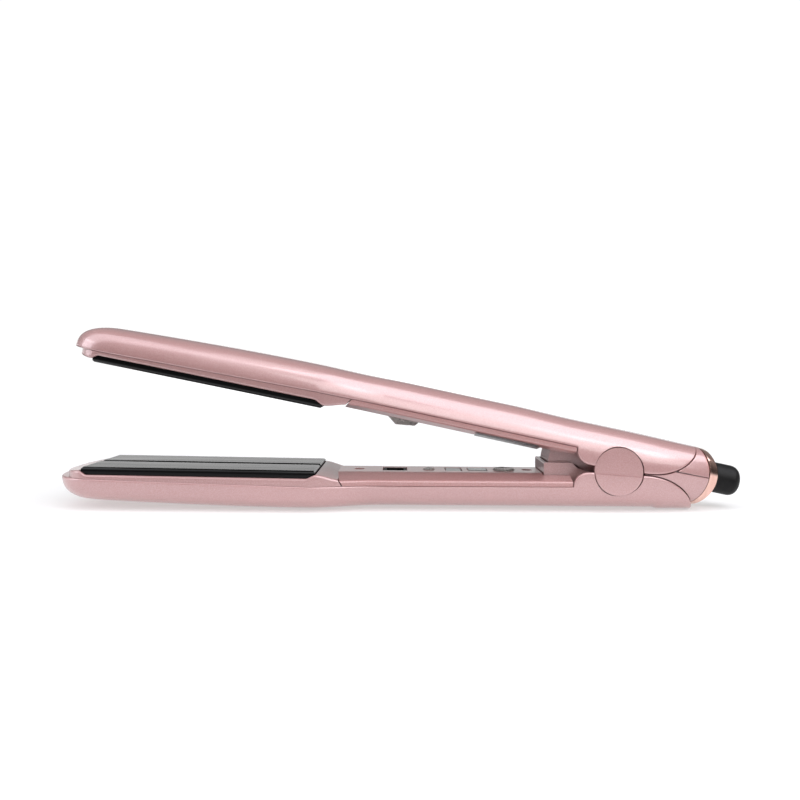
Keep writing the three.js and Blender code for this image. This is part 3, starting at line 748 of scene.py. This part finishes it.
def plate(matrix):
    w = PLATE_WIDTH / 2
    turn = [(-w + PLATE_ROUND * (1 - math.cos(a)), PLATE_ROUND * (1 - math.sin(a)))
            for a in span(0, math.pi / 2, 8)]
    face = [(-w, PLATE_SIDE), *turn, (-GROOVE_HALF, 0), (-GROOVE_FLOOR, GROOVE_DEPTH)]
    back = [(-w + RIB_IN, PLATE_SLAB), (-w + RIB_IN, PLATE_DEPTH)]
    back += [(-w + RIB_OUT, PLATE_DEPTH), (-w + RIB_OUT, PLATE_SIDE)]
    outline = face + [(-y, h) for y, h in reversed(face)] + [(-y, h) for y, h in reversed(back)] + back
    seat = matrix @ Matrix.Translation((-PLATE_MID, 0, plate_face(PLATE_MID)))
    seat = seat @ Matrix.Rotation(-PLATE_TILT, 4, "Y")
    rings = [[(s, y, h) for y, h in outline] for s in span(-PLATE_HALF, PLATE_HALF, 20)]
    piece = loft("plate", rings, seat)
    for side in (-1, 1):
        end, inset, past = (side * (PLATE_HALF + d) for d in (0, -PLATE_CHAMFER, 2))
        wedge = [(end, PLATE_CHAMFER), (inset, 0), (inset, -2), (past, -2), (past, PLATE_CHAMFER)]
        carve(piece, slab("wedge", wedge, -w - 1, w + 1, seat))
    return soften(piece, 0.28, 3, 30)


# ------------------------------------------------------------------ hinge
def hinge_cap(side):
    """Round cap on a stem: slightly domed, with its upper part stepped back along a parting line."""
    profile = [(0, CAP_FROM), (CAP_STEM, CAP_FROM), (CAP_STEM, CAP_BACK), (CAP_RADIUS, CAP_BACK)]
    profile.append((CAP_RADIUS, CAP_RIM))
    profile += [(CAP_RADIUS - CAP_TURN * (1 - math.cos(a)), CAP_RIM + CAP_TURN * math.sin(a))
                for a in span(0.2, math.pi / 2, 5)]
    profile += [(r, CAP_FACE + CAP_DOME * (1 - (r / CAP_RADIUS) ** 2))
                for r in span(CAP_RADIUS - 1.4, 0, 8)]
    piece = lathe("cap", [(r, side * y) for r, y in profile], UPRIGHT, "y", steps=160)
    socket = drum("socket", PIN_SNUG, side * 11, side * 15.2, UPRIGHT, "y")
    past = 12
    upper = [(-past, PARTING - PARTING_LEAN), (past, PARTING + PARTING_LEAN), (past, past), (-past, past)]
    recess = slab("recess", upper, side * PARTING_FLOOR, side * (PARTING_FLOOR + 2), UPRIGHT)
    return soften(carve(piece, socket, recess), 0.4, 4)


def hinge_block():
    """Foot of the upper arm: the barrel on the pin and the well that holds the spring's top."""
    side = rounded([(28.8, 12), (28.8, -2), (28.1, -6), (18.2, -6), (17.6, -1.2), (14.5, -2.6),
                    (11, -3.4), (7, -4), (0, -BARREL_RADIUS), (-8, 4), (-8, 12)], 0.7, 3)
    piece = slab("foot", side, -BARREL_HALF, BARREL_HALF, UPPER)
    carve(piece, drum("barrel", BARREL_RADIUS, -BARREL_HALF, BARREL_HALF, UPPER, "y"), how="UNION")
    bore = drum("bore", PIN_RADIUS + TURN_CLEAR, -PIN_REACH, PIN_REACH, UPPER, "y")
    pocket = block("pocket", -6, 14.5, -7, 7, 6.5, 13, UPPER)
    carve(piece, bore, rod("spring_well", SPRING_WELL, -10, 6.2, SPRING_WELL_S, UPPER), pocket)
    return soften(piece, 0.3)


def hinge_bracket():
    """Fork of the lower arm: two cheeks round the block, joined at the foot."""
    side = rounded([(30.8, 9.8), (30.8, -2.9), (18.6, -2.9), (16.2, -0.6), (12, 0.8), (6.5, 1.2), (5.3, 2),
                    (4.6, 3.2), (0, 5.6), (-4, 6.4), (-4, 9.8)], 0.7, 3)
    piece = slab("fork", side, -BRACKET_OUT, BRACKET_OUT, LOWER)
    carve(piece, drum("lug", LUG_RADIUS, -BRACKET_OUT, BRACKET_OUT, LOWER, "y"), how="UNION")
    inside = block("inside", -12, 29.5, -BRACKET_IN, BRACKET_IN, -12, 8.3, LOWER)
    drain = block("drain", 4, 14, -5, 5, 7, 11, LOWER)
    bore = drum("bore", PIN_SNUG, -PIN_REACH, PIN_REACH, LOWER, "y")
    return soften(carve(piece, inside, drain, bore), 0.3)


def opening_spring():
    """Wire coil between the bracket and the block, drawn at its open length; it rides on the lower arm."""
    lean = OPEN_ANGLE / 2
    foot_s, foot_h = SPRING_FOOT
    seat = UPRIGHT @ Matrix.Translation((-foot_s, 0, foot_h)) @ Matrix.Rotation(lean, 4, "Y")
    pitch = math.atan2(SPRING_HEIGHT, 2 * math.pi * SPRING_RADIUS * SPRING_TURNS)
    rings = []
    for t in span(0, 1, SPRING_TURNS * 48):
        a = 2 * math.pi * SPRING_TURNS * t
        out = Vector((math.cos(a), math.sin(a), 0))
        up = Vector((math.sin(a) * math.sin(pitch), -math.cos(a) * math.sin(pitch), math.cos(pitch)))
        lift = Vector((0, 0, SPRING_HEIGHT * t))
        ring = [out * (SPRING_RADIUS + SPRING_WIRE * math.cos(q)) + up * SPRING_WIRE * math.sin(q) + lift
                for q in span(0, 2 * math.pi, 12)[:-1]]
        rings.append([(-v.x, v.y, v.z) for v in ring])
    piece = dress("opening_spring", soften(loft("coil", rings, seat), 0), "lower_arm", "steel")
    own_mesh(piece)


def cushion(prefix, where, s, matrix):
    """Silicone ring that the plate group presses on, drawn at rest."""
    foot, top = CUSHION_FOOT, CUSHION_TOP
    profile = rounded([(1.6, foot), (4, foot), (4.4, (foot + top) / 2), (4, top), (1.6, top)], 0.4, 3)
    ring = soften(lathe("ring", profile, matrix, "h", (s, 0, 0), 64), 0)
    piece = dress(f"{prefix}_cushion_{where}", ring, f"{prefix}_arm", "silicone")
    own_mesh(piece)


# ------------------------------------------------------------------ tail of the upper arm
def tail_ring_points(s, half, inset, steps=120):
    """Section of the tail: a rounded oblong, higher above its axis than below it."""
    ring = []
    for i in range(steps):
        a = 2 * math.pi * (i + 0.5) / steps
        c, d = math.cos(a), math.sin(a)
        y = math.copysign(half * abs(c) ** (2 / 2.8), c)
        high = TAIL_RISE - inset if d > 0 else inset - TAIL_DROP
        ring.append((s, y, TAIL_AXIS + high * abs(d) ** (2 / 2.5)))
    return ring


def tail_body(start, stop, inset):
    rings = []
    for s in span(start, stop, 40):
        rings.append(tail_ring_points(s, half_width(s) - inset, 2.4 * ease(-s, 37.5, 46) + inset))
    return loft("tail_body", rings, UPPER)


def arm_body(start, stop):
    rings = []
    for s in span(start, stop, 40):
        half = half_width(s)
        arc = [(s, y, h) for y, h in arch(half, crown(s, False), squareness(s), 0.01, 96)]
        rings.append([(s, half, -1), (s, -half, -1)] + arc)
    return loft("arm_body", rings, UPPER)


def open_fishtail(clear):
    """Lower shell's fishtail, turned by the open angle into the upper arm's frame."""
    c, d = math.cos(OPEN_ANGLE), math.sin(OPEN_ANGLE)
    return [(s * c - fishtail(s) * d, -s * d - fishtail(s) * c + clear) for s in span(-11, -34.9, 36)]


def ring_joint(start, stop, steps):
    """Edge that the wedge keeps along the end ring."""
    return [(ring_edge(h) + RING_JOINT, h) for h in span(start, stop, steps)]


def wedge_upper():
    """Upper half of the fishtail wedge, as a cap over the lower half."""
    top = [(s, fishtail(s) - 0.3) for s in span(WEDGE_SPLIT, -34.9, 24)]
    back = ring_joint(16.9, TAIL_AXIS + 0.15, 18)
    region = across("region", [(WEDGE_SPLIT, TAIL_AXIS + 0.15), *top, *back], UPPER)
    piece = arm_body(-20, -42)
    carve(piece, region, how="INTERSECT")
    return soften(carve(piece, tail_body(-16, -42, 2.4)), 0.14, 2)


def wedge_lower():
    """Lower half of the fishtail wedge, round the core that the upper half sits on."""
    front = -11.3
    top = [(s, min(TAIL_AXIS, fishtail(s)) - 0.3) for s in span(-11, WEDGE_SPLIT, 24)]
    back = ring_joint(TAIL_AXIS - 0.15, -4.9, 18)
    face = across("face", [*top, *back, *reversed(open_fishtail(0.45))], UPPER)
    piece = tail_body(front, -42, 0)
    carve(piece, face, how="INTERSECT")
    carve(piece, tail_body(front, -42, 2.8), how="UNION")
    kept = across("kept", [(front, 18), *ring_joint(18, -12, 24), (front, -12)], UPPER)
    carve(piece, kept, how="INTERSECT")
    throat = drum("throat", THROAT_RADIUS, -37, -8, UPPER, "s", TAIL_CENTRE)
    neck = drum("neck", NECK_RADIUS, -44, -36, UPPER, "s", TAIL_CENTRE)
    nick = block("nick", -13.5, -10, -19, 19, -9, 1, UPPER)
    return soften(carve(piece, throat, neck, nick), 0.14, 2)


def tail_ring():
    front = [(ring_edge(h), h) for h in span(18, -9, 24)]
    back = [(ring_end(h), h) for h in span(-9, 18, 24)]
    piece = tail_body(-33, -46, 0)
    carve(piece, across("band", [*front, *back], UPPER), how="INTERSECT")
    neck = drum("neck", NECK_RADIUS, -46, -36, UPPER, "s", TAIL_CENTRE)
    seat = drum("seat", BOSS_RADIUS + TURN_CLEAR, -47, RING_SEAT, UPPER, "s", TAIL_CENTRE)
    return soften(carve(piece, neck, seat), 0.5, 4)


def cord_inlet():
    """Rubber swivel: a plain drum with a rounded end and a shallow moulded step."""
    root = 0.3 - RING_SEAT
    outside = [(STEM_RADIUS, root), (BOSS_RADIUS, root), (BOSS_RADIUS, 45.0), (BOSS_RADIUS - 0.25, 45.3)]
    outside += [(BOSS_RADIUS - 0.25, 45.6), (BOSS_RADIUS + 0.1, 46.0), (BOSS_RADIUS + 0.1, 50)]
    outside += [(BOSS_RADIUS - 2.9 + 3 * math.cos(a), BOSS_END - 3.6 * (1 - math.sin(a)))
                for a in span(0, math.pi / 2, 12)]
    profile = [(CORD_HOLE, 33.4), (STEM_RADIUS, 33.4), *outside, (CORD_HOLE, BOSS_END)]
    return soften(lathe("inlet", [(r, -x) for r, x in profile], UPPER, "s", TAIL_CENTRE, 128), 0)


# ------------------------------------------------------------------ controls and small fittings
NOTCH_RADIUS = 0.28
TAB_HALF = 2.8


def knob(s, radius, depth, top, notches):
    """Round control with a flange under the cover and, on a dial, fine notches in its rim."""
    rim = [(radius - 0.3 + 0.3 * math.sin(a), 0.3 - 0.3 * math.cos(a)) for a in span(0, math.pi / 2, 4)]
    profile = [(0, 0.12), (radius - 1.1, 0.12), (radius - 0.8, 0), *rim, (radius, 2.4), (radius + 0.7, 2.4),
               (radius + 0.7, depth), (0, depth)]
    piece = lathe("knob", [(r, top + h) for r, h in profile], LOWER, "h", (s, 0, 0), 128)
    for i in range(notches):
        a = 2 * math.pi * i / notches
        spot = (s + radius * math.cos(a), radius * math.sin(a), 0)
        carve(piece, drum("notch", NOTCH_RADIUS, top - 1, top + 1, LOWER, "h", spot, 12))
    return soften(piece, 0)


def guide_tab():
    """Tab on the upper arm that comes down over the socket as the arms close."""
    side = rounded([(101.8, 8), (101.8, 1.6), (97.6, -1.5), (89, -0.4), (87.4, 1.6), (87.4, 8)], 0.5, 3)
    piece = slab("tab", side, -TAB_HALF, TAB_HALF, UPPER)
    carve(piece, block("notch", 90.4, 91.6, -3, -1.9, -2, 1.2, UPPER))
    return soften(piece, 0.3)


def guide_socket():
    piece = block("holder", 90.9, 101.1, -4.6, 4.6, COVER_TOP + 0.1, 8, LOWER)
    return soften(carve(piece, block("slot", 92.2, 99.8, -3.4, 3.4, 0, 7, LOWER)), 0.3)


def cover_screw(s, matrix):
    """Cross-head screw, its head sunk in the cover."""
    top = COVER_TOP + 0.5
    profile = [(0, 0), (1.6, 0.03), (1.9, 0.1), (2.05, 0.3), (2.1, 0.5), (1.1, 1.1), (1.1, 6), (0, 6)]
    piece = lathe("screw", [(r, top + h) for r, h in profile], matrix, "h", (s, 0, 0), 64)
    for half_s, half_y in ((1.3, 0.26), (0.26, 1.3)):
        carve(piece, block("slot", s - half_s, s + half_s, -half_y, half_y, top - 0.5, top + 0.55, matrix))
    return soften(piece, 0)


def tile(s0, s1, half, h0, h1, edge):
    """Thin plain pane in the lower cover."""
    return soften(block("tile", s0, s1, -half, half, h0, h1, LOWER), edge)


def sticker():
    """Blank label that lies on the near flank of the upper cover."""
    lean = Matrix.Rotation(-math.atan2(2.2, 8.6), 4, "X")
    flank = UPPER @ Matrix.Translation((0, -13.9, 2.27)) @ lean
    return soften(block("sticker", 35, 63, -2.6, 2.6, 0, 0.2, flank), 0.06)


# ------------------------------------------------------------------ assembly
def dress(node, piece, body, slot, look=None):
    """Names the piece after its CAD node and fits it there, in its slot's finish or a look of its own."""
    piece.name = f"{node}_skin"
    piece.data.name = piece.name
    return fit(piece, node, body, look or LOOKS[slot])


for prefix, matrix, heel, openings in (("lower", LOWER, True, LOWER_OPENINGS),
                                       ("upper", UPPER, False, UPPER_OPENINGS)):
    arm = f"{prefix}_arm"
    dress(f"{prefix}_shell", outer_shell(matrix, heel), arm, "paint")
    dress(f"{prefix}_head_frame", head_frame(matrix), arm, "frame")
    dress(f"{prefix}_grip_cover", grip_cover(matrix, openings), arm, "paint", COVER_LOOK)
    dress(f"{prefix}_plate", plate(matrix), f"{prefix}_plate_unit", "ceramic")
    for where, s in SCREWS.items():
        dress(f"{prefix}_screw_{where}", cover_screw(s, matrix), arm, "steel")
    for where, s in CUSHIONS.items():
        cushion(prefix, where, s, matrix)
opening_spring()

dress("hinge_cap_near", hinge_cap(-1), "lower_arm", "paint")
dress("hinge_cap_far", hinge_cap(1), "lower_arm", "paint")
dress("hinge_bracket", hinge_bracket(), "lower_arm", "frame")
dress("hinge_block", hinge_block(), "upper_arm", "frame")
dress("tail_wedge_upper", wedge_upper(), "upper_arm", "paint")
dress("tail_wedge_lower", wedge_lower(), "upper_arm", "paint")
dress("tail_ring", tail_ring(), "upper_arm", "copper")
dress("cord_swivel", cord_inlet(), "swivel", "rubber")
dress("guide_tab", guide_tab(), "upper_arm", "resin")
dress("guide_socket", guide_socket(), "lower_arm", "rubber")
dress("dial", knob(DIAL_S, radius=4.6, depth=4.6, top=COVER_TOP - 0.7, notches=18), "dial", "resin")
dress("power_button", knob(BUTTON_S, radius=2.4, depth=4.6, top=COVER_TOP - 0.5, notches=0),
      "power_button", "resin")
dress("display_window", tile(66.2, 73, half=4.6, h0=COVER_TOP + 0.1, h1=COVER_TOP + 1.2, edge=0.2),
      "lower_arm", "dark_glass")
dress("scale_label", tile(54.8, 63, half=3.8, h0=COVER_TOP - 0.1, h1=COVER_TOP + 0.2, edge=0.08),
      "lower_arm", "dark_glass")

dress("rating_label", sticker(), "upper_arm", "dark_glass")

SLOT_OF = {row["node"]: row["material_slot"] for row in frame["record"]["subparts"]}
for name, node in frame["nodes"].items():
    if not node.hide_render:
        node.data.materials.clear()
        node.data.materials.append(LOOKS[SLOT_OF[name]])
        for polygon in node.data.polygons:
            polygon.use_smooth = False


# ------------------------------------------------------------------ studio
FLOOR_GLOW = 0.45
FLOOR_NEAR = 0.42
FLOOR_FAR = 0.05
FLOOR_MIDDLE = -0.03
FLOOR_FADE = (0.05, 0.15)
BACK_STRIP = 1.1
BACK_ROOM = 0.25
FRONT_LOW = 0.06
FRONT_HIGH = 0.25
SKY_WHITE = 1.05
LILAC = (0.95, 0.95, 1.0)


def studio_floor():
    """White to the eye; what the gloss sees is paler under the object than in front and behind."""
    form = bmesh.new()
    bmesh.ops.create_circle(form, cap_ends=True, segments=96, radius=9.0)
    mesh = bpy.data.meshes.new("floor")
    form.to_mesh(mesh)
    form.free()
    floor = bpy.data.objects.new("floor", mesh)
    scene.collection.objects.link(floor)
    f = Finish("pale_floor")
    white = tinted(f, (0.93, 0.93, 0.93), (0.95, 0.95, 0.95), 3)
    far = f.add("ShaderNodeVectorMath", {"operation": "LENGTH"})
    f.feed_at(far, 0, f.where)
    # painted glow: the floor gives off its own light; to the camera this glow is weaker under the object
    # and full from about 1.2 m out, and for reflections it is strongest beside the object
    shown = f.ranged(far.outputs["Value"], FLOOR_GLOW, 1.0, 0.25, 1.2)
    aside = f.add("ShaderNodeMath", {"operation": "ABSOLUTE"})
    before = f.add("ShaderNodeVectorMath", {"operation": "ADD"})
    f.feed_at(before, 0, f.where)
    f.feed_at(before, 1, (0, -FLOOR_MIDDLE, 0))
    f.feed_at(aside, 0, f.add("ShaderNodeSeparateXYZ", Vector=before.outputs["Vector"]).outputs["Y"])
    seen = f.add("ShaderNodeLightPath").outputs["Is Camera Ray"]

    def either(mirrored, direct):
        """One value for reflections and another for the camera."""
        made = f.add("ShaderNodeMix")
        for index, value in zip((0, 2, 3), (seen, mirrored, direct)):
            f.feed_at(made, index, value)
        return made.outputs[0]

    glow = either(f.ranged(aside.outputs["Value"], FLOOR_NEAR, FLOOR_FAR, *FLOOR_FADE), shown)
    whiteness = either(f.ranged(aside.outputs["Value"], 0.6, 0.08, *FLOOR_FADE), 0.55)
    f.set(Base_Color=f.blend(whiteness, (0, 0, 0), white), Roughness=0.8,
          Emission_Color=(1, 1, 1, 1), Emission_Strength=glow)
    f.feed(f.shader, "Specular IOR Level", 0.1)
    f.feed(f.shader, "Normal", f.bump(f.noise(400, 3), 0.00002, 0.2))
    mesh.materials.append(f.look)


def softbox(name, spot, target, width, height, radiance, tint=(1, 1, 1)):
    """Rectangular lamp at spot that faces target, equally bright whatever its size."""
    data = bpy.data.lights.new(name, "AREA")
    data.shape = "RECTANGLE"
    data.size = width
    data.size_y = height
    data.energy = radiance * math.pi * width * height
    data.color = tint
    lamp = bpy.data.objects.new(name, data)
    lamp.location = spot
    lamp.rotation_euler = (Vector(target) - Vector(spot)).to_track_quat("-Z", "Y").to_euler()
    scene.collection.objects.link(lamp)


def studio_sky():
    """White to the eye; what the gloss sees is a dim room with a pale strip low down behind."""
    world = bpy.data.worlds.new("studio")
    scene.world = world
    world.use_nodes = True
    tree = world.node_tree
    tree.nodes.clear()
    make = tree.nodes.new
    link = tree.links.new

    def ramp(source, low, high, start, stop):
        made = make("ShaderNodeMapRange")
        made.interpolation_type = "SMOOTHSTEP"
        for key, value in zip(("From Min", "From Max", "To Min", "To Max"), (low, high, start, stop)):
            made.inputs[key].default_value = value
        link(source, made.inputs["Value"])
        return made.outputs["Result"]

    def paint(strength):
        made = make("ShaderNodeBackground")
        made.inputs["Color"].default_value = (1, 1, 1, 1)
        if isinstance(strength, float):
            made.inputs["Strength"].default_value = strength
        else:
            link(strength, made.inputs["Strength"])
        return made.outputs["Background"]

    def mixed(factor, a, b):
        made = make("ShaderNodeMixShader")
        link(factor, made.inputs["Fac"])
        link(a, made.inputs[1])
        link(b, made.inputs[2])
        return made.outputs["Shader"]

    parts = make("ShaderNodeSeparateXYZ")
    link(make("ShaderNodeTexCoord").outputs["Generated"], parts.inputs["Vector"])
    behind = paint(ramp(parts.outputs["Z"], 0.1, 0.2, BACK_STRIP, BACK_ROOM))
    before = paint(ramp(parts.outputs["Z"], 0.1, 0.6, FRONT_LOW, FRONT_HIGH))
    room = mixed(ramp(parts.outputs["Y"], -0.35, 0.35, 0.0, 1.0), before, behind)
    out = make("ShaderNodeOutputWorld")
    seen = make("ShaderNodeLightPath").outputs["Is Camera Ray"]
    link(mixed(seen, room, paint(SKY_WHITE)), out.inputs["Surface"])


studio_floor()
studio_sky()
softbox("top_box", (0.6, -0.28, 1.1), (0.05, -0.05, 0.03),
        width=1.05, height=1.3, radiance=2.9, tint=LILAC)
softbox("middle_box", (-0.06, -0.28, 1.1), (-0.04, -0.05, 0.03),
        width=0.27, height=1.3, radiance=1.1)
softbox("left_box", (-0.72, -0.28, 1.1), (-0.05, -0.05, 0.03),
        width=1.05, height=1.3, radiance=1.5, tint=LILAC)
softbox("front_box", (0.5, -0.95, 0.7), (0.05, 0, 0.03),
        width=1.2, height=0.8, radiance=2.4)
softbox("nose_box", (-1.2, -0.35, 0.45), (-0.1, 0, 0.05),
        width=0.8, height=0.7, radiance=2.8, tint=LILAC)


# ------------------------------------------------------------------ camera
LENS = 33.75
SENSOR = 36
SHIFT = (0.01575, -0.04475)
EYE = (0.00198, -0.3402, 0.06443)
YAW = -0.024
DIP = 0.003
ROLL = 0.004


def camera():
    """Level view from the near side, close enough for a strong perspective."""
    data = bpy.data.cameras.new("camera")
    data.lens = LENS
    data.sensor_width = SENSOR
    data.clip_start = 0.01
    data.shift_x, data.shift_y = SHIFT
    eye = bpy.data.objects.new("camera", data)
    ahead = Vector((math.sin(YAW) * math.cos(DIP), math.cos(YAW) * math.cos(DIP), -math.sin(DIP)))
    turn = ahead.to_track_quat("-Z", "Y").to_matrix().to_4x4() @ Matrix.Rotation(ROLL, 4, "Z")
    eye.matrix_world = Matrix.Translation(EYE) @ turn
    scene.collection.objects.link(eye)
    scene.camera = eye


camera()
scene.view_settings.view_transform = "Standard"
